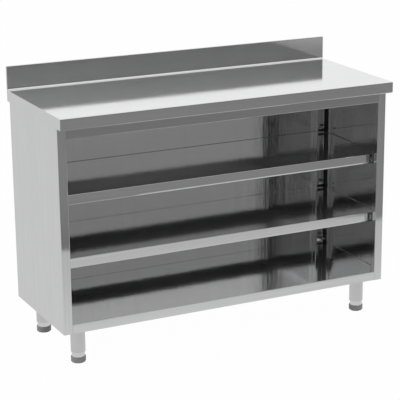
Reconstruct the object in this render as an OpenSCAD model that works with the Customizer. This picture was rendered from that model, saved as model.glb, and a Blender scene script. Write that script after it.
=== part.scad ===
// Open back counter cabinet in folded stainless sheet, with a worktop and upstand,
// two lift-out shelves on clips, a fixed bottom shelf and four levelling legs.
// X runs along the front, Y from the front to the back, Z up from the floor.

/* [Overall] */
// Length of the worktop
counter_w = 1500; // [1100:10:2000]
// Depth of the worktop, front edge to the back of the upstand
counter_d = 600; // [560:5:800]
// Height of the worktop above the floor
worktop_h = 1045; // [1000:5:1100]
// Height of the carcass's underside above the floor
leg_h = 150; // [130:1:180]

/* [Worktop] */
// Sheet of the worktop and the upstand
top_sheet = 1.5; // [1:0.1:2]
// Depth of the fold that hangs down at the worktop's edges
top_fold = 46.7; // [35:0.1:60]
// Width of the return under the front fold
top_return = 18; // [12:1:25]
// Height of the upstand above the worktop
splash_h = 100; // [60:1:150]
// Thickness of the upstand
splash_d = 9.6; // [8:0.2:16]
// Radius of the cove at the upstand's foot
cove_r = 7; // [4:0.5:10]
// Thickness of the board glued under the worktop
board_t = 18; // [15:1:19]
// Clearance round the board inside the worktop's folds
board_gap = 1; // [0.8:0.1:2]

/* [Carcass] */
// Sheet of the carcass and the shelves
sheet = 1.2; // [0.8:0.1:1.5]
// Outer radius of a fold in that sheet
bend_r = 2.5; // [1.9:0.1:3]
// Distance from the worktop's front edge back to the carcass
front_overhang = 47; // [30:1:60]
// Distance from the carcass's back to the upstand's back
rear_overhang = 18; // [10:1:30]
// Distance from the worktop's end in to the side panel
side_overhang = 3; // [2:0.1:10]
// Width of the side panel's front flange
flange_w = 38; // [30:1:50]
// Depth of the return behind the front flange
flange_lip = 24; // [14:1:30]
// Width of the side panel's rear flange
rear_flange = 12; // [10:1:20]
// Width of the side panel's top and bottom flanges
end_flange = 25; // [15:1:30]
// Depth of the back panel's tray
back_tray = 12.3; // [10:0.1:20]
// Height of the top rail that shows below the worktop's fold
rail_show = 48.3; // [30:0.1:70]
// Width of the returns of the top rail and of the bottom shelf's front fold
rail_lip = 12; // [8:1:12]

/* [Shelves] */
// Height of the bottom shelf's top above the carcass's underside
bottom_fold = 39.5; // [36:0.5:50]
// Height of the middle shelf's top above the floor
middle_shelf_z = 451; // [420:1:480]
// Height of the upper shelf's top above the floor
upper_shelf_z = 714; // [680:1:740]
// Depth of a shelf's front fold
shelf_fold = 41; // [30:1:50]
// Depth of a shelf's rear fold
shelf_rear_fold = 25; // [15:1:30]
// Depth of a shelf's side fold
shelf_side_fold = 20; // [12:1:25]
// Width of the return under a shelf's front fold
shelf_return = 15; // [10:1:20]
// Width of the hem that carries that return past the clips
shelf_hem = 3.2; // [2.8:0.1:3.6]
// Distance of a shelf's front behind the returns of the front flanges
shelf_setback = 21; // [18:0.5:22]
// Clearance between a shelf and what is beside it
shelf_gap = 2; // [1:0.1:3]

/* [Racks] */
// Height of a rack above the top rail's lower edge
rack_over = 20; // [5:1:40]
// Width of a rack's fin
rack_fin = 12; // [8:1:14]
// Distance from a rack's face plate to its fin
fin_lead = 42; // [41:1:50]
// Width of a rear rack's face plate
face_plate = 37; // [32:1:42]
// Distance of a rear rack's face plate from the back panel
face_depth = 29.3; // [24:0.1:34]
// Width of the slot between a face plate and the side panel
face_slot = 11.6; // [8:0.1:14]
// Height of a notch in a face plate
notch_h = 10; // [6:0.5:14]
// Width of the bridge beside a notch, which is open to the slot
notch_bridge = 6; // [4:0.5:10]
// Height of a notch above the shelf beside it
notch_rise = 5; // [3:0.5:10]
// Height above the bottom shelf at which the plastic strip in a rack starts
strip_start = 25; // [20:1:60]
// Width of the rim round the hole in the bottom shelf under a rear rack
hole_rim = 4; // [3:0.5:6]

/* [Clips] */
// Width of a shelf clip
clip_w = 12; // [8:1:13]
// Length of a clip's arm
clip_l = 44; // [38:1:52]
// Thickness of a clip at its root
clip_root = 13; // [9:0.5:16]
// Thickness of a clip at its tip
clip_tip = 5; // [3:0.5:7]
// Distance of a clip from its rack's fin
clip_from_fin = 3; // [2:0.5:4]

/* [Legs] */
// Outer diameter of a leg's tube
leg_d = 60; // [50:1:62]
// Wall of a leg's tube
leg_wall = 1.5; // [1:0.1:2]
// Distance of a leg's axis from the side panel
leg_inset_x = 85; // [70:1:140]
// Distance of a front leg's axis from the carcass's front
leg_inset_front = 72; // [65:1:110]
// Distance of a rear leg's axis from the carcass's back
leg_inset_rear = 68; // [65:1:110]
// Side of the square plate on a leg
plate_w = 96; // [80:1:110]
// Thickness of that plate
plate_t = 3; // [2:0.5:5]
// Height of the cross beams that carry the legs
beam_h = 23; // [18:1:26]
// Width of a cross beam's crown
beam_w = 64; // [50:1:70]
// Width of each foot of a cross beam
beam_foot = 18; // [12:1:22]
// Thickness of the threaded insert in a leg
insert_t = 15; // [10:1:20]
// Diameter of the screws that hold a leg's plate
screw_d = 6; // [4:1:8]
// Length of such a screw under its head
screw_l = 12; // [8:1:20]
// Diameter of its head
screw_head_d = 12; // [9:0.5:14]
// Height of its head
screw_head_h = 3.6; // [2:0.2:5]
// Distance of a screw from the side edge of the plate
screw_edge = 10; // [8:1:14]
// Radial clearance of a screw in the plate
screw_gap = 0.3; // [0.2:0.1:0.5]
// Radial clearance of a screw in the thread of the beam's foot
thread_gap = 0.05; // [0.02:0.01:0.1]

/* [Feet] */
// Diameter of the plastic foot
foot_d = 61; // [50:1:64]
// Height of the plastic foot
foot_h = 25.5; // [18:0.5:32]
// Chamfer at the foot's bottom edge
foot_chamfer = 4; // [2:0.5:6]
// Rounding of the foot's top edge
foot_round = 2.5; // [1:0.5:3]
// Diameter of the sleeve between the foot and the tube
sleeve_d = 54; // [44:0.5:54]
// Wall of the sleeve
sleeve_wall = 1.5; // [1:0.1:2]
// Length of sleeve that shows when the foot is screwed home
sleeve_show = 20; // [10:0.5:25]
// Travel of a foot on its thread
foot_travel = 30; // [15:1:35]
// Length of sleeve that stays in the tube at full travel
sleeve_hold = 18; // [12:1:20]
// Diameter of the threaded spindle
spindle_d = 16; // [10:1:20]
// Radial clearance between the spindle and its insert
spindle_gap = 0.05; // [0.02:0.01:0.1]
// Length of thread left above the insert at full travel
spindle_spare = 3; // [1:1:8]
// Chamfer at the spindle's tip
spindle_chamfer = 1; // [0.5:0.5:2]

/* [Hidden] */

steel = [0.78, 0.78, 0.79];
black_plastic = [0.05, 0.05, 0.05];
grey_plastic = [0.42, 0.42, 0.42];
board_brown = [0.62, 0.48, 0.33];
round_fn = 96;
bend_steps = 5;
cut = 1;  // reach of a cutting solid past the face that it cuts

// Planes of the worktop
half_w = counter_w / 2;
front_y = -counter_d / 2;
rear_y = counter_d / 2;
fold_z = worktop_h - top_fold;
splash_y = rear_y - splash_d;
splash_z = worktop_h + splash_h;

// Planes of the carcass
side_x = half_w - side_overhang;
wall_x = side_x - sheet;
carcass_front = front_y + front_overhang;
carcass_rear = rear_y - rear_overhang;
carcass_top = worktop_h - top_sheet - board_t;
mouth_x = side_x - flange_w;
lip_y = carcass_front + flange_lip;
back_end = carcass_rear - sheet;
back_y = back_end - back_tray;
rail_z = fold_z - rail_show;
bottom_z = leg_h + bottom_fold;

// Planes of the racks
rack_x = wall_x - sheet;
fin_x = rack_x - rack_fin;
rack_top = rail_z + rack_over;
face_right = rack_x - face_slot;
face_left = face_right - face_plate;
face_y = back_y - face_depth;
front_fin_y = lip_y + fin_lead;
rear_fin_y = face_y - fin_lead;
clip_front_y = front_fin_y - sheet - clip_from_fin - clip_w;
clip_rear_y = rear_fin_y + sheet + clip_from_fin;
clip_x = rack_x - clip_l;

// Planes of the shelves
shelf_front = lip_y + shelf_setback;
shelf_rear = back_y - shelf_gap;
shelf_side = wall_x - shelf_gap;
shelf_waist = fin_x - shelf_gap;
notch_front_y = front_fin_y + shelf_gap;
notch_rear_y = rear_fin_y - shelf_gap;
face_clear_x = face_left - shelf_gap;
face_clear_y = face_y - shelf_gap;
return_x = clip_x - shelf_gap;

// Heights in a leg
beam_z = bottom_z - sheet - beam_h;
plate_z = beam_z - plate_t;
tube_z = foot_h + sleeve_show;
sleeve_top = tube_z + foot_travel + sleeve_hold;
insert_z = sleeve_top;
leg_x = side_x - leg_inset_x;
leg_front_y = carcass_front + leg_inset_front;
leg_rear_y = carcass_rear - leg_inset_rear;
screw_x = plate_w / 2 - screw_edge;
screw_y = (beam_w + beam_foot) / 2;

// Direction from a to b, and the turn between two directions, in degrees
function heading(a, b) = atan2(b[1] - a[1], b[0] - a[0]);
function turn(a) = a > 180 ? a - 360 : a < -180 ? a + 360 : a;
function left_of(a) = [-sin(a), cos(a)];

// Points along a path of straight runs joined by arcs of the radii r, each with
// its heading
function bent(p, r) = [
  [p[0], heading(p[0], p[1])],
  for (i = [1 : len(p) - 2])
    let (a = heading(p[i - 1], p[i]),
         t = turn(heading(p[i], p[i + 1]) - a),
         s = sign(t),
         start = p[i] - abs(r[i - 1] * tan(t / 2)) * [cos(a), sin(a)],
         centre = start + s * r[i - 1] * left_of(a))
      for (j = [0 : bend_steps])
        let (b = a + t * j / bend_steps) [centre - s * r[i - 1] * left_of(b), b],
  [p[len(p) - 1], heading(p[len(p) - 2], p[len(p) - 1])]
];

// Section of a folded sheet: p is one face, and the sheet lies t to its left, or to
// its right where t is negative
module folded(p, t, r) {
  trail = bent(p, r);
  polygon(concat(
    [for (q = trail) q[0]],
    [for (i = [len(trail) - 1 : -1 : 0]) trail[i][0] + t * left_of(trail[i][1])]
  ));
}

// Carries a section drawn in Y and Z along X, from x0 to x1
module along_x(x0, x1)
  translate([x0, 0, 0]) rotate([90, 0, 90]) linear_extrude(x1 - x0) children();

// Carries a section drawn in X and Z along Y, from y0 to y1
module along_y(y0, y1)
  translate([0, y1, 0]) rotate([90, 0, 0]) linear_extrude(y1 - y0) children();

module block(low, high)
  translate(low) cube(high - low);

// The same piece at the left, at -X
module at_left() mirror([1, 0, 0]) children();

module both_ends() {
  children();
  at_left() children();
}

// Outline of the worktop's end, from the front fold to the upstand
module end_outline()
  polygon([
    [front_y + bend_r, fold_z], [rear_y, fold_z], [rear_y, splash_z - bend_r],
    [rear_y - bend_r, splash_z], [splash_y + bend_r, splash_z],
    [splash_y, splash_z - bend_r], [splash_y, worktop_h + cove_r],
    for (a = [0 : 15 : 90])
      [splash_y - cove_r * (1 - cos(a)), worktop_h + cove_r * (1 - sin(a))],
    [front_y + bend_r, worktop_h], [front_y, worktop_h - bend_r],
    [front_y, fold_z + bend_r]
  ]);

module worktop()
  color(steel) {
    along_x(top_sheet - half_w, half_w - top_sheet)
      folded(
        [[front_y + top_return, fold_z], [front_y, fold_z], [front_y, worktop_h],
         [splash_y, worktop_h], [splash_y, splash_z], [rear_y, splash_z],
         [rear_y, fold_z]],
        -top_sheet, [bend_r, bend_r, cove_r, bend_r, bend_r]);
    both_ends()
      along_x(half_w - top_sheet, half_w) end_outline();
  }

module worktop_board()
  color(board_brown)
    block([board_gap + top_sheet - half_w, front_y + top_sheet + board_gap, carcass_top],
          [half_w - top_sheet - board_gap, splash_y - cove_r, worktop_h - top_sheet]);

// Outer skin with its front flange and lip, its rear flange, and a flange at the
// top and the bottom
module side_right()
  color(steel) {
    translate([0, 0, leg_h])
      linear_extrude(carcass_top - leg_h)
        folded(
          [[mouth_x, lip_y], [mouth_x, carcass_front], [side_x, carcass_front],
           [side_x, carcass_rear], [side_x - rear_flange, carcass_rear]],
          sheet, [bend_r, bend_r, bend_r]);
    for (z = [leg_h, carcass_top - sheet])
      block([side_x - end_flange, lip_y, z], [wall_x, back_y, z + sheet]);
  }

module side_left() at_left() side_right();

// Tray that closes the back, with its returns turned away from the compartments. Its
// ends stay clear of the inner radius of the side panels' rear folds
module back_panel() {
  end_x = wall_x - (bend_r - sheet);
  color(steel) {
    along_x(-end_x, end_x)
      folded(
        [[back_end, leg_h], [back_y, leg_h], [back_y, carcass_top],
         [back_end, carcass_top]],
        -sheet, [bend_r, bend_r]);
    both_ends()
      block([end_x - sheet, back_y + sheet, leg_h + sheet],
            [end_x, back_end, carcass_top - sheet]);
  }
}

module top_rail()
  color(steel)
    along_x(-mouth_x, mouth_x)
      folded(
        [[carcass_front + rail_lip, rail_z], [carcass_front, rail_z],
         [carcass_front, carcass_top], [carcass_front + rail_lip, carcass_top]],
        -sheet, [bend_r, bend_r]);

// Sheet of the bottom shelf: its front fold fills the mouth, and its wings reach the
// side skins behind the flanges
module bottom_shelf_sheet() {
  along_x(-mouth_x, mouth_x)
    folded(
      [[carcass_front + rail_lip, leg_h], [carcass_front, leg_h],
       [carcass_front, bottom_z], [back_y, bottom_z],
       [back_y, bottom_z - shelf_rear_fold]],
      -sheet, [bend_r, bend_r, bend_r]);
  both_ends()
    along_y(lip_y, back_y)
      folded([[mouth_x, bottom_z], [wall_x, bottom_z],
              [wall_x, bottom_z - shelf_side_fold]],
             -sheet, [bend_r]);
}

// Fixed shelf between the side panels, with a drain hole inside each rear rack
module bottom_shelf()
  color(steel)
    difference() {
      bottom_shelf_sheet();
      both_ends()
        block([face_left + sheet + hole_rim, face_y + sheet + hole_rim,
               bottom_z - sheet - cut],
              [rack_x - hole_rim, back_y - sheet - hole_rim, bottom_z + cut]);
    }

// Places of the four screws of the leg at x, y
function screw_spots(x, y) =
  [for (sx = [-1, 1], sy = [-1, 1]) [x + sx * screw_x, y + sy * screw_y]];

// Bores for the screws of the leg at x, y, through a sheet from z up by t
module screw_bores(x, y, z, t, r)
  for (q = screw_spots(x, y))
    translate([q[0], q[1], z - cut])
      cylinder(h = t + 2 * cut, r = r, $fn = round_fn);

// Hat section with its feet at beam_z and its crown under the bottom shelf
module beam_section(y) {
  half = beam_w / 2;
  crown = beam_z + beam_h - sheet;
  folded([[y - half - beam_foot, beam_z], [y - half, beam_z], [y - half, crown],
          [y + half, crown], [y + half, beam_z], [y + half + beam_foot, beam_z]],
         sheet, [bend_r, bend_r - sheet, bend_r - sheet, bend_r]);
}

// Cross beam under the bottom shelf, with threads for the leg plates' screws in its
// feet
module beam(y)
  color(steel)
    difference() {
      along_x(end_flange - side_x, side_x - end_flange) beam_section(y);
      for (x = [-leg_x, leg_x])
        screw_bores(x, y, beam_z, sheet, screw_d / 2 + thread_gap);
    }

module beam_front() beam(leg_front_y);
module beam_rear() beam(leg_rear_y);

// Right edge of a loose shelf, front to back: full length between the racks, waisted
// at their fins and cut back at the rear racks' face plates
function shelf_edge() = [
  [shelf_waist, shelf_front + bend_r], [shelf_waist, notch_front_y],
  [shelf_side - bend_r, notch_front_y], [shelf_side - bend_r, notch_rear_y],
  [shelf_waist, notch_rear_y], [shelf_waist, face_clear_y],
  [face_clear_x, face_clear_y], [face_clear_x, shelf_rear - bend_r]
];

// Loose shelf whose top is at z: its front fold has a return, which narrows to a
// hem past the clips
module shelf(z) {
  edge = shelf_edge();
  count = len(edge);
  color(steel) {
    translate([0, 0, z - sheet])
      linear_extrude(sheet)
        polygon(concat(edge, [for (i = [count - 1 : -1 : 0]) [-edge[i][0], edge[i][1]]]));
    along_x(-return_x, return_x) shelf_front_section(z, shelf_return);
    both_ends()
      along_x(return_x, shelf_waist) shelf_front_section(z, shelf_hem);
    along_x(-face_clear_x, face_clear_x)
      folded([[shelf_rear - 2 * bend_r, z], [shelf_rear, z],
              [shelf_rear, z - shelf_rear_fold]],
             -sheet, [bend_r]);
    both_ends()
      along_y(notch_front_y, notch_rear_y)
        folded([[shelf_side - 2 * bend_r, z], [shelf_side, z],
                [shelf_side, z - shelf_side_fold]],
               -sheet, [bend_r]);
  }
}

module shelf_front_section(z, reach)
  folded([[shelf_front + reach, z - shelf_fold], [shelf_front, z - shelf_fold],
          [shelf_front, z], [shelf_front + 2 * bend_r, z]],
         -sheet, [bend_r, bend_r]);

module shelf_upper() shelf(upper_shelf_z);
module shelf_middle() shelf(middle_shelf_z);

// Section of a right-hand rack, whose channel runs from its face plate at face to
// back, with the fin on the other side of the plate
module rack_section(left, face, back) {
  inwards = sign(back - face);
  fin_y = face - inwards * fin_lead;
  folded(
    [[fin_x, fin_y], [wall_x, fin_y], [wall_x, back], [left, back], [left, face],
     [face_right, face]],
    inwards * sheet, [bend_r, bend_r, bend_r, bend_r]);
}

// Rack with a notch in its face plate at each shelf
module rack(left, face, back) {
  plate_middle = face + sign(back - face) * sheet / 2;
  reach = sheet / 2 + cut;
  color(steel)
    difference() {
      translate([0, 0, bottom_z])
        linear_extrude(rack_top - bottom_z) rack_section(left, face, back);
      for (z = [bottom_z, middle_shelf_z, upper_shelf_z])
        block([left + notch_bridge, plate_middle - reach, z + notch_rise],
              [face_right + cut, plate_middle + reach, z + notch_rise + notch_h]);
    }
}

module rack_front_right() rack(mouth_x + sheet, lip_y, carcass_front + sheet);
module rack_front_left() at_left() rack_front_right();
module rack_rear_right() rack(face_left, face_y, back_y);
module rack_rear_left() at_left() rack_rear_right();

// Thick plastic strip that fills a rack's channel, with its corners cut clear of the
// folds
module strip(left, face, back) {
  inwards = sign(back - face);
  inner_r = bend_r - sheet;
  low_x = left + sheet;
  near = face + inwards * sheet;
  far = back - inwards * sheet;
  color(black_plastic)
    translate([0, 0, bottom_z + strip_start])
      linear_extrude(rack_top - bottom_z - strip_start)
        polygon([[low_x + inner_r, near], [rack_x, near],
                 [rack_x, far - inwards * inner_r], [rack_x - inner_r, far],
                 [low_x + inner_r, far], [low_x, far - inwards * inner_r],
                 [low_x, near + inwards * inner_r]]);
}

module strip_front_right() strip(mouth_x + sheet, lip_y, carcass_front + sheet);
module strip_front_left() at_left() strip_front_right();
module strip_rear_right() strip(face_left, face_y, back_y);
module strip_rear_left() at_left() strip_rear_right();

// Clip whose tapered arm reaches in from a rack under a shelf
module clip(y, shelf_z) {
  top = shelf_z - sheet;
  color(black_plastic)
    along_y(y, y + clip_w)
      polygon([[rack_x, top], [rack_x, top - clip_root],
               [rack_x - clip_root / 2, top - clip_root], [clip_x, top - clip_tip],
               [clip_x, top]]);
}

module clip_upper_front_right() clip(clip_front_y, upper_shelf_z);
module clip_upper_front_left() at_left() clip_upper_front_right();
module clip_upper_rear_right() clip(clip_rear_y, upper_shelf_z);
module clip_upper_rear_left() at_left() clip_upper_rear_right();
module clip_middle_front_right() clip(clip_front_y, middle_shelf_z);
module clip_middle_front_left() at_left() clip_middle_front_right();
module clip_middle_rear_right() clip(clip_rear_y, middle_shelf_z);
module clip_middle_rear_left() at_left() clip_middle_rear_right();

module leg_plate(x, y)
  color(steel)
    difference() {
      block([x - plate_w / 2, y - plate_w / 2, plate_z],
            [x + plate_w / 2, y + plate_w / 2, beam_z]);
      screw_bores(x, y, plate_z, plate_t, screw_d / 2 + screw_gap);
    }

// Four domed screws, driven up through a leg's plate into its beam
module leg_screws(x, y)
  color(steel)
    for (q = screw_spots(x, y))
      translate([q[0], q[1], plate_z])
        rotate_extrude($fn = round_fn)
          polygon([
            [0, screw_l], [screw_d / 2, screw_l], [screw_d / 2, 0], [screw_head_d / 2, 0],
            for (a = [0 : 15 : 90])
              [screw_head_d / 2 * cos(a), -screw_head_h * sin(a)]
          ]);

module leg_tube(x, y)
  color(steel)
    translate([x, y, tube_z])
      difference() {
        cylinder(h = plate_z - tube_z, d = leg_d, $fn = round_fn);
        translate([0, 0, -cut])
          cylinder(h = plate_z - tube_z + 2 * cut, d = leg_d - 2 * leg_wall, $fn = round_fn);
      }

// Disc across the tube with the thread for the spindle
module leg_insert(x, y)
  color(steel)
    translate([x, y, insert_z])
      difference() {
        cylinder(h = insert_t, d = leg_d - 2 * leg_wall, $fn = round_fn);
        translate([0, 0, -cut])
          cylinder(h = insert_t + 2 * cut, r = spindle_d / 2 + spindle_gap, $fn = round_fn);
      }

// Sleeve that slides in the tube, closed at its top, with the spindle in its middle
module foot_spindle(x, y) {
  spindle_top = insert_z + insert_t + foot_travel + spindle_spare;
  inner_r = sleeve_d / 2 - sleeve_wall;
  color(steel)
    translate([x, y, 0])
      rotate_extrude($fn = round_fn)
        polygon([
          [0, foot_h], [spindle_d / 2, foot_h], [spindle_d / 2, sleeve_top - sleeve_wall],
          [inner_r, sleeve_top - sleeve_wall], [inner_r, foot_h],
          [sleeve_d / 2, foot_h], [sleeve_d / 2, sleeve_top], [spindle_d / 2, sleeve_top],
          [spindle_d / 2, spindle_top - spindle_chamfer],
          [spindle_d / 2 - spindle_chamfer, spindle_top],
          [0, spindle_top]
        ]);
}

// Plastic foot with a chamfered tread and a rounded shoulder
module foot_pad(x, y)
  color(grey_plastic)
    translate([x, y, 0])
      rotate_extrude($fn = round_fn)
        polygon([
          [0, 0], [foot_d / 2 - foot_chamfer, 0], [foot_d / 2, foot_chamfer],
          for (a = [0 : 15 : 90])
            [foot_d / 2 - foot_round * (1 - cos(a)), foot_h - foot_round * (1 - sin(a))],
          [0, foot_h]
        ]);

module leg_plate_front_left() leg_plate(-leg_x, leg_front_y);
module leg_plate_front_right() leg_plate(leg_x, leg_front_y);
module leg_plate_rear_left() leg_plate(-leg_x, leg_rear_y);
module leg_plate_rear_right() leg_plate(leg_x, leg_rear_y);
module leg_screws_front_left() leg_screws(-leg_x, leg_front_y);
module leg_screws_front_right() leg_screws(leg_x, leg_front_y);
module leg_screws_rear_left() leg_screws(-leg_x, leg_rear_y);
module leg_screws_rear_right() leg_screws(leg_x, leg_rear_y);
module leg_tube_front_left() leg_tube(-leg_x, leg_front_y);
module leg_tube_front_right() leg_tube(leg_x, leg_front_y);
module leg_tube_rear_left() leg_tube(-leg_x, leg_rear_y);
module leg_tube_rear_right() leg_tube(leg_x, leg_rear_y);
module leg_insert_front_left() leg_insert(-leg_x, leg_front_y);
module leg_insert_front_right() leg_insert(leg_x, leg_front_y);
module leg_insert_rear_left() leg_insert(-leg_x, leg_rear_y);
module leg_insert_rear_right() leg_insert(leg_x, leg_rear_y);
module foot_spindle_front_left() foot_spindle(-leg_x, leg_front_y);
module foot_spindle_front_right() foot_spindle(leg_x, leg_front_y);
module foot_spindle_rear_left() foot_spindle(-leg_x, leg_rear_y);
module foot_spindle_rear_right() foot_spindle(leg_x, leg_rear_y);
module foot_pad_front_left() foot_pad(-leg_x, leg_front_y);
module foot_pad_front_right() foot_pad(leg_x, leg_front_y);
module foot_pad_rear_left() foot_pad(-leg_x, leg_rear_y);
module foot_pad_rear_right() foot_pad(leg_x, leg_rear_y);

worktop();
worktop_board();
side_left();
side_right();
back_panel();
top_rail();
bottom_shelf();
beam_front();
beam_rear();
shelf_upper();
shelf_middle();
rack_front_left();
rack_front_right();
rack_rear_left();
rack_rear_right();
strip_front_left();
strip_front_right();
strip_rear_left();
strip_rear_right();
clip_upper_front_left();
clip_upper_front_right();
clip_upper_rear_left();
clip_upper_rear_right();
clip_middle_front_left();
clip_middle_front_right();
clip_middle_rear_left();
clip_middle_rear_right();
leg_plate_front_left();
leg_plate_front_right();
leg_plate_rear_left();
leg_plate_rear_right();
leg_screws_front_left();
leg_screws_front_right();
leg_screws_rear_left();
leg_screws_rear_right();
leg_tube_front_left();
leg_tube_front_right();
leg_tube_rear_left();
leg_tube_rear_right();
leg_insert_front_left();
leg_insert_front_right();
leg_insert_rear_left();
leg_insert_rear_right();
foot_spindle_front_left();
foot_spindle_front_right();
foot_spindle_rear_left();
foot_spindle_rear_right();
foot_pad_front_left();
foot_pad_front_right();
foot_pad_rear_left();
foot_pad_rear_right();
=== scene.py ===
"""Open back counter cabinet in brushed stainless sheet, in a white studio."""

import math

import bpy
import numpy as np
from mathutils import Matrix, Vector


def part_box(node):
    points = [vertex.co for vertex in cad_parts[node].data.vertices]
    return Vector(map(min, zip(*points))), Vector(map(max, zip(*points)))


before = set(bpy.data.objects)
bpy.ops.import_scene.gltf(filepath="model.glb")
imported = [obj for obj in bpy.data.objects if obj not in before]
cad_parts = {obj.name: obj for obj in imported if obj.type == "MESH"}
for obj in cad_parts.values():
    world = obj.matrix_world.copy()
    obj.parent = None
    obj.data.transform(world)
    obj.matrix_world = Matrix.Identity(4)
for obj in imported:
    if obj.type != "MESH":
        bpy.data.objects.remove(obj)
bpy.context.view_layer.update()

# Camera: solved from the photo, in metres and degrees
CAMERA_PLACE = Vector((-2.838, -5.818, 2.423))
CAMERA_AZIMUTH = math.radians(28.42)   # of the line of sight, from +Y towards +X
CAMERA_DIP = math.radians(17.27)       # of the line of sight, below level
CAMERA_ROLL = math.radians(0.21)
SENSOR_WIDTH = 36.0                    # mm
FOCAL_LENGTH = 141.93                  # mm
SHIFT_X, SHIFT_Y = -0.1683, 0.0770     # of the picture's middle from the line of sight


def set_camera():
    """Camera at its place, turned from looking down -Z to the line of sight: first its
    roll, then up from the nadir by the dip, then round Z by the azimuth."""
    data = bpy.data.cameras.new("camera")
    data.sensor_width = SENSOR_WIDTH
    data.lens = FOCAL_LENGTH
    data.shift_x, data.shift_y = SHIFT_X, SHIFT_Y
    camera = bpy.data.objects.new("camera", data)
    bpy.context.scene.collection.objects.link(camera)
    turn = (Matrix.Rotation(-CAMERA_AZIMUTH, 4, "Z")
            @ Matrix.Rotation(math.pi / 2 - CAMERA_DIP, 4, "X")
            @ Matrix.Rotation(CAMERA_ROLL, 4, "Z"))
    camera.matrix_world = Matrix.Translation(CAMERA_PLACE) @ turn
    bpy.context.scene.camera = camera


class Value:
    """A socket of a material or of the world. Sums on it add Math nodes, and node()
    adds any other node beside it."""

    def __init__(self, tree, socket=None):
        self.tree, self.socket = tree, socket

    def node(self, kind, sockets, output=0, **settings):
        """Adds a node: first its settings, then the values or links of its sockets.
        Gives back one of its outputs."""
        made = self.tree.nodes.new(kind)
        for name, setting in settings.items():
            setattr(made, name, setting)
        for name, value in sockets.items():
            if isinstance(value, Value):
                self.tree.links.new(value.socket, made.inputs[name])
            else:
                made.inputs[name].default_value = value
        return Value(self.tree, made.outputs[output])

    def math(self, operation, *terms):
        return self.node("ShaderNodeMath", dict(enumerate(terms)), operation=operation)

    def __add__(self, other):
        return self.math("ADD", self, other)

    def __radd__(self, other):
        return self.math("ADD", other, self)

    def __sub__(self, other):
        return self.math("SUBTRACT", self, other)

    def __rsub__(self, other):
        return self.math("SUBTRACT", other, self)

    def __mul__(self, other):
        return self.math("MULTIPLY", self, other)

    def __rmul__(self, other):
        return self.math("MULTIPLY", other, self)

    def __truediv__(self, other):
        return self.math("DIVIDE", self, other)

    def __neg__(self):
        return self.math("MULTIPLY", self, -1)

    def __abs__(self):
        return self.math("ABSOLUTE", self)

    def at_least(self, low):
        return self.math("MAXIMUM", self, low)

    def ramp(self, low, high):
        """0 at low, 1 at high, straight between and held beyond."""
        return self.node("ShaderNodeMapRange",
                         {"Value": self, "From Min": low, "From Max": high})

    def step(self, low, high):
        """0 at low, 1 at high, with a smooth rise between them."""
        return self.node("ShaderNodeMapRange",
                         {"Value": self, "From Min": low, "From Max": high},
                         interpolation_type="SMOOTHSTEP")

    def swing(self, depth):
        """Noise turned into a change around 0, up to half of depth either way."""
        return (self - 0.5) * depth

    def vector(self, operation, *others, **sockets):
        """A Vector Math node on this vector and others."""
        return self.node("ShaderNodeVectorMath",
                         {0: self, **dict(enumerate(others, 1)), **sockets},
                         operation=operation)

    def part(self, axis):
        """The X, Y or Z of a vector."""
        return self.node("ShaderNodeSeparateXYZ", {0: self}, output=axis)

    def blend(self, low, high):
        """The colour low where this is 0, and high where it is 1."""
        return self.node("ShaderNodeMix", {0: self, 6: low, 7: high},
                         output=2, data_type="RGBA")

    def tinted(self, red=1.0, blue=1.0):
        """The grey colour of this level, with its red and blue scaled."""
        return self.node("ShaderNodeCombineColor",
                         {"Red": self * red, "Green": self, "Blue": self * blue})

    def noise(self, scale, detail=2.0, roughness=0.5, stretch=(1, 1, 1)):
        """Noise from 0 to 1 over this vector, with scale cells to a metre, denser along
        each axis by its stretch."""
        return self.node("ShaderNodeTexNoise",
                         {"Vector": self.vector("MULTIPLY", stretch), "Scale": scale,
                          "Detail": detail, "Roughness": roughness})

    def bump(self, strength, distance):
        """The surface's normal with this height on it, where 1 stands distance high."""
        return self.node("ShaderNodeBump",
                         {"Height": self, "Strength": strength, "Distance": distance},
                         output="Normal")


def grey(level):
    return (level, level, level, 1.0)


def new_material(name):
    """An empty material, and the Object coordinates that its patterns follow."""
    material = bpy.data.materials.new(name)
    material.use_nodes = True
    material.node_tree.nodes.clear()
    start = Value(material.node_tree)
    return material, start.node("ShaderNodeTexCoord", {}, output="Object")


def show(shader, output="ShaderNodeOutputMaterial"):
    """Makes a shader the surface of its material, or the light of its world."""
    out = shader.tree.nodes.new(output)
    shader.tree.links.new(shader.socket, out.inputs["Surface"])


# Brushed sheet: tones are shares of the light that it gives back, lengths in metres
STEEL = 0.86                # tone of most sheets
RAIL_SHADED_TONE = 0.70           # tone of the rail, darker than STEEL as painted shade under the worktop's overhang
INSIDE_STEEL = 0.62         # tone of the side panels' inner faces
INNER_FACES = (-0.5, -0.4)  # their X times their normal's X is below this, others' above
STEEL_RED, STEEL_BLUE = 0.998, 1.004
STREAK_DEPTH = 0.16         # swing of the tone from streak to streak
BLOTCH_DEPTH = 0.05         # swing of the tone from blotch to blotch
GLOSS_DEPTH = 0.3           # swing of the roughness with each of them
HAZE = 0.09                 # share of the light that brush marks scatter widely
HAZE_ROUGHNESS = 0.95
GRAIN_LENGTH = 0.12         # along a brush mark
GRAIN_WIDTH = 0.0006        # across it
STREAK_DENSITY = 0.12       # streaks for each brush mark over the same length
X_AXIS, Z_AXIS = (1, 0, 0), (0, 0, 1)
LEVEL_GRAIN = {"grain": X_AXIS, "tilt": 0.004, "roughness": 0.05}
UPRIGHT_GRAIN = {"grain": Z_AXIS, "tilt": 0.120, "roughness": 0.05}
WORKTOP_GRAIN = {"grain": X_AXIS, "tilt": 0.014, "roughness": 0.08}

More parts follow.
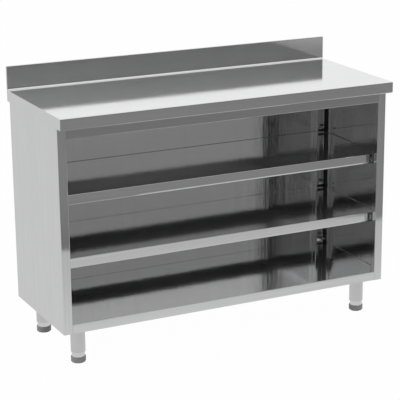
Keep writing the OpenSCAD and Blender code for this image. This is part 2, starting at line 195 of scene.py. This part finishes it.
# Lower edges of the folds, which roll under, in metres
SHELF_ROLL = 0.0065         # how far up a shelf's fold the roll reaches
TOP_ROLL = 0.0035           # the same on the worktop's fold and the rail
ROLL_BLUR = 0.001           # half of the run from rolled to flat at its upper end
ROLL_RUN = (-0.60, 0.35)    # places along X where the roll starts and where it is full
ROLL_LEAN = 0.32            # slope of the face where it rolls fully


def rolled_edge(node, reach):
    """Height of a node's lower edge, and how far up its fold rolls under."""
    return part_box(node)[0].z, reach


def lean_at_edges(place, rolled_edges):
    """The normal, which leans down in a strip above each of the rolled edges. The roll
    is tighter towards the left end, so less of it shows there."""
    normal = place.node("ShaderNodeNewGeometry", {}, output="Normal")
    for edge, reach in rolled_edges:
        above = place.part("Z") - edge
        flat = above.step(reach - ROLL_BLUR, reach + ROLL_BLUR)
        rolled = above.step(-ROLL_BLUR, 0.0) * (1 - flat)
        lean = rolled * place.part("X").ramp(*ROLL_RUN) * -ROLL_LEAN
        normal = normal.vector("ADD", place.node("ShaderNodeCombineXYZ", {"Z": lean}))
    return normal.vector("NORMALIZE")


def brushed_steel(name, grain, tilt, roughness, rolled_edges=(), tone=STEEL,
                  inside_tone=None):
    """Stainless sheet brushed along one axis. Each brush mark leans the surface to
    its side by the slope tilt, so reflections smear across the grain. Faint streaks
    and blotches vary the tone and the gloss. Faces that look towards the middle of
    the cabinet's length have the inside_tone."""
    material, place = new_material(name)
    normal = lean_at_edges(place, rolled_edges)
    if inside_tone:
        others = (place.part("X") * normal.part("X")).step(*INNER_FACES)
        tone = inside_tone + others * (tone - inside_tone)
    stretch = [1 / GRAIN_LENGTH if along else 1 / GRAIN_WIDTH for along in grain]
    marks = place.noise(scale=1.0, detail=1.0, stretch=stretch)
    streaks = place.noise(scale=1.0, stretch=[s * STREAK_DENSITY for s in stretch])
    blotches = place.noise(scale=9.0, detail=3.0)

    across = normal.vector("CROSS_PRODUCT", grain)
    lean = across.vector("SCALE", Scale=marks.swing(2 * tilt))
    leaning = normal.vector("ADD", lean).vector("NORMALIZE")
    level = tone * (1 + streaks.swing(STREAK_DEPTH) + blotches.swing(BLOTCH_DEPTH))
    colour = level.tinted(STEEL_RED, STEEL_BLUE)
    gloss = roughness * (1 + blotches.swing(GLOSS_DEPTH) + streaks.swing(GLOSS_DEPTH))
    mirror = place.node("ShaderNodeBsdfPrincipled", {
        "Base Color": colour, "Metallic": 1.0, "Roughness": gloss, "Normal": leaning})
    haze = place.node("ShaderNodeBsdfPrincipled", {
        "Base Color": colour, "Metallic": 1.0, "Roughness": HAZE_ROUGHNESS})
    show(place.node("ShaderNodeMixShader", {0: HAZE, 1: mirror, 2: haze}))
    return material


def satin_steel(name, tone, roughness):
    """Drawn or rolled steel with no set grain: fine pits and soft blotches."""
    material, place = new_material(name)
    pits = place.noise(scale=900.0)
    blotches = place.noise(scale=30.0, detail=3.0)
    level = tone * (1 + blotches.swing(depth=0.08))
    show(place.node("ShaderNodeBsdfPrincipled", {
        "Base Color": level.tinted(blue=1.005), "Metallic": 1.0,
        "Roughness": roughness * (1 + blotches.swing(depth=0.3)),
        "Normal": pits.bump(strength=0.05, distance=0.0002)}))
    return material


def moulded_plastic(name, tone, roughness):
    """Moulded plastic with a fine spark-eroded grain and slight scuffs."""
    material, place = new_material(name)
    grain = place.noise(scale=1500.0)
    scuffs = place.noise(scale=60.0, detail=4.0, roughness=0.7)
    level = tone * (1 + scuffs.swing(depth=0.25))
    show(place.node("ShaderNodeBsdfPrincipled", {
        "Base Color": level.tinted(blue=1.01),
        "Roughness": roughness * (1 + scuffs.swing(depth=0.3)),
        "Normal": grain.bump(strength=0.2, distance=0.0002)}))
    return material


def faced_board(name):
    """Chipboard with grey melamine faces: cells in two browns and dust on its edges,
    faint mottling on its faces."""
    dark_chip, pale_chip = (0.30, 0.20, 0.11, 1), (0.62, 0.47, 0.30, 1)
    chip_dust, dust_cover = (0.45, 0.33, 0.20, 1), 0.6
    melamine = 0.48
    edge_tilt, face_tilt = 0.5, 0.6     # size of the normal's Z on edges and faces
    material, place = new_material(name)
    chips = place.node("ShaderNodeTexVoronoi", {"Vector": place, "Scale": 260.0},
                       output="Color").part("X")
    dust = place.noise(scale=700.0, detail=3.0)
    edges = (dust * dust_cover).blend(chips.blend(dark_chip, pale_chip), chip_dust)
    faces = melamine + place.noise(scale=25.0, detail=3.0).swing(depth=0.06)
    normal = place.node("ShaderNodeNewGeometry", {}, output="Normal")
    flat = abs(normal.part("Z")).step(edge_tilt, face_tilt)
    rough_edges = chips * (1 - flat)
    show(place.node("ShaderNodeBsdfPrincipled", {
        "Base Color": flat.blend(edges, faces.tinted()), "Roughness": 0.8,
        "Normal": rough_edges.bump(strength=0.3, distance=0.0004)}))
    return material


def dress_cabinet():
    """Gives every solid its finish by the start of its name, and the longest start
    that fits counts."""
    shelf_edges = [rolled_edge(name, SHELF_ROLL) for name in ("shelf_upper", "shelf_middle")]
    worktop_steel = brushed_steel("worktop_steel", **WORKTOP_GRAIN,
                                  rolled_edges=[rolled_edge("worktop", TOP_ROLL)])
    # The rail's darker tone is painted shade under the worktop's overhang.
    rail_steel = brushed_steel("rail_steel", **LEVEL_GRAIN, tone=RAIL_SHADED_TONE,
                               rolled_edges=[rolled_edge("top_rail", TOP_ROLL)])
    level_steel = brushed_steel("level_grain_steel", **LEVEL_GRAIN)
    upright_steel = brushed_steel("upright_grain_steel", **UPRIGHT_GRAIN)
    plate_steel = satin_steel("plate_steel", tone=0.68, roughness=0.35)
    # Near-black for the racks' strips and clips. The strip in each rack's slot is painted
    # shade: a black fill where the channel's inside lies in shade.
    black_plastic_and_shade = moulded_plastic("rack_black_plastic_and_shade", tone=0.012, roughness=0.45)
    finishes = {
        "worktop": worktop_steel,
        "worktop_board": faced_board("faced_board"),
        "top_rail": rail_steel,
        "side": brushed_steel("side_steel", **UPRIGHT_GRAIN, inside_tone=INSIDE_STEEL),
        "back_panel": upright_steel,
        "rack": upright_steel,
        "bottom_shelf": level_steel,
        "shelf": brushed_steel("shelf_steel", **LEVEL_GRAIN, rolled_edges=shelf_edges),
        "beam": level_steel,
        "leg_plate": plate_steel,
        "leg_screws": plate_steel,
        "leg_insert": plate_steel,
        "leg_tube": satin_steel("tube_steel", tone=0.75, roughness=0.24),
        "foot_spindle": satin_steel("sleeve_steel", tone=0.86, roughness=0.20),
        "foot_pad": moulded_plastic("foot_grey_plastic", tone=0.40, roughness=0.5),
        # The strip fills the rack's channel with painted shade.
        "strip": black_plastic_and_shade,
        "clip": black_plastic_and_shade,
    }
    for name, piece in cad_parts.items():
        start = max((key for key in finishes if name.startswith(key)), key=len)
        piece.data.materials.clear()
        piece.data.materials.append(finishes[start])


# The room, by the direction that light comes from. A height is the Z of a direction,
# and a slant is how far it runs to the side for each metre ahead of the cabinet
ROOM_ABOVE = 0.92             # white ceiling and back of the room
ROOM_LEVEL = 0.075            # dim front of the room, near level
ROOM_LOW = 0.280              # the same a few degrees higher
ROOM_FRONT = 0.255            # the same higher still
LOW_HEIGHTS = (0.19, 0.23)    # from ROOM_LEVEL to ROOM_LOW
FRONT_HEIGHTS = (0.245, 0.285)  # from ROOM_LOW to ROOM_FRONT
CEILING_HEIGHTS = (0.42, 0.70)  # from the front to the ceiling
FRONT_TURN = (-0.1, 0.25)     # from the room's back to its front, by -Y
CAMERA_SIDE = 0.40            # share of the front's light on the camera's side
LEFT_SIDE = 1.50              # the same left of the camera
CAMERA_SLANTS = (-0.35, 0.15)  # from the camera's side to the rest, to the right
LEFT_SLANTS = (0.57, 0.77)    # from the camera's side to LEFT_SIDE, to the left
LEAST_AHEAD = 0.05            # keeps the slants finite beside the cabinet

# The floor's light as steel mirrors it, and places on it in metres
FLOOR_NEAR = 0.65             # beside the cabinet
FLOOR_EDGE = 0.53             # at the floor's front edge
BEYOND_FLOOR = 0.236          # dim floor past that edge
FAR_FLOOR = 0.086             # the same some metres further
RIGHT_FLOOR = 0.38            # pale patch far to the right
FLOOR_EDGE_Y = -1.69          # place of the edge in front of the cabinet's middle
FLOOR_EDGE_SLOPE = 0.159      # its run towards the back, a metre to the right
EDGE_BLUR = 0.01
NEAR_RUN = 1.4                # from the edge to FLOOR_NEAR
FAR_RUN = (3.0, 4.2)          # past the edge, to FAR_FLOOR
RIGHT_START = (3.35, 3.65)    # start of the pale patch along X
RIGHT_RUN = (3.5, 3.9)        # the same past the edge
INSIDE_RIGHT = 0.8            # where light that is mirrored to the left leaves the cabinet
FLOOR_REACH = 40.0
FLOOR_COLOUR = 0.80
FLOOR_WHITE = 0.98            # share of pure white in the floor that the camera sees


def camera_side(way, start_x=0.0):
    """Share of the front's light that comes from a direction, or from a place before
    the cabinet: 1 to the right of straight ahead, CAMERA_SIDE to the left of it, where
    the camera stands, and LEFT_SIDE further left as seen from start_x."""
    ahead = (-way.part("Y")).at_least(LEAST_AHEAD)
    right = (way.part("X") / ahead).step(*CAMERA_SLANTS)
    left = ((start_x - way.part("X")) / ahead).ramp(*LEFT_SLANTS)
    return CAMERA_SIDE + right * (1 - CAMERA_SIDE) + left * (LEFT_SIDE - CAMERA_SIDE)


def light_studio():
    """World: white to the camera, and to all else bright above and behind, dim in
    front."""
    world = bpy.data.worlds.new("studio")
    bpy.context.scene.world = world
    world.use_nodes = True
    world.node_tree.nodes.clear()
    way = Value(world.node_tree).node("ShaderNodeTexCoord", {}, output="Generated")
    height = way.part("Z")
    to_front = (-way.part("Y")).step(*FRONT_TURN)
    below_ceiling = 1 - height.step(*CEILING_HEIGHTS)
    front = (ROOM_LEVEL + height.step(*LOW_HEIGHTS) * (ROOM_LOW - ROOM_LEVEL)
             + height.step(*FRONT_HEIGHTS) * (ROOM_FRONT - ROOM_LOW))
    level = ROOM_ABOVE + to_front * below_ceiling * (front * camera_side(way) - ROOM_ABOVE)
    to_camera = way.node("ShaderNodeLightPath", {}, output="Is Camera Ray")
    level = level + to_camera * (1 - level)
    show(way.node("ShaderNodeBackground", {"Color": level.tinted()}),
         "ShaderNodeOutputWorld")


def floor_finish():
    """Pale matt floor that takes the cabinet's shadow. The camera sees it almost
    white, and steel mirrors it bright near the cabinet and dim past its front edge."""
    material, place = new_material("studio_floor")
    behind_edge = place.part("Y") - place.part("X") * FLOOR_EDGE_SLOPE - FLOOR_EDGE_Y
    past_edge = -behind_edge
    lit = FLOOR_EDGE + behind_edge.step(0.0, NEAR_RUN) * (FLOOR_NEAR - FLOOR_EDGE)
    dim = BEYOND_FLOOR + past_edge.step(*FAR_RUN) * (FAR_FLOOR - BEYOND_FLOOR)
    right = place.part("X").step(*RIGHT_START) * past_edge.step(*RIGHT_RUN)
    beyond = (dim + right * (RIGHT_FLOOR - dim)) * camera_side(place, INSIDE_RIGHT)
    mirrored = beyond + behind_edge.step(-EDGE_BLUR, EDGE_BLUR) * (lit - beyond)

    to_camera = place.node("ShaderNodeLightPath", {}, output="Is Camera Ray")
    to_mirror = place.node("ShaderNodeLightPath", {}, output="Is Glossy Ray")
    matt = place.node("ShaderNodeBsdfDiffuse", {"Color": grey(FLOOR_COLOUR)})
    white = place.node("ShaderNodeEmission", {"Color": grey(1.0), "Strength": 1.0})
    image = place.node("ShaderNodeEmission", {"Color": mirrored.tinted()})
    seen = place.node("ShaderNodeMixShader", {0: FLOOR_WHITE, 1: matt, 2: white})
    unseen = place.node("ShaderNodeMixShader", {0: to_mirror, 1: matt, 2: image})
    show(place.node("ShaderNodeMixShader", {0: to_camera, 1: unseen, 2: seen}))
    return material


def lay_floor():
    """Studio floor: a square round the cabinet, FLOOR_REACH to each side."""
    corners = np.array([(-1, -1, 0), (1, -1, 0), (1, 1, 0), (-1, 1, 0)]) * FLOOR_REACH
    mesh = bpy.data.meshes.new("studio_floor")
    mesh.from_pydata(corners.tolist(), [], [(0, 1, 2, 3)])
    mesh.materials.append(floor_finish())
    floor = bpy.data.objects.new("studio_floor", mesh)
    bpy.context.scene.collection.objects.link(floor)


set_camera()
dress_cabinet()
light_studio()
lay_floor()
bpy.context.scene.view_settings.view_transform = "Standard"
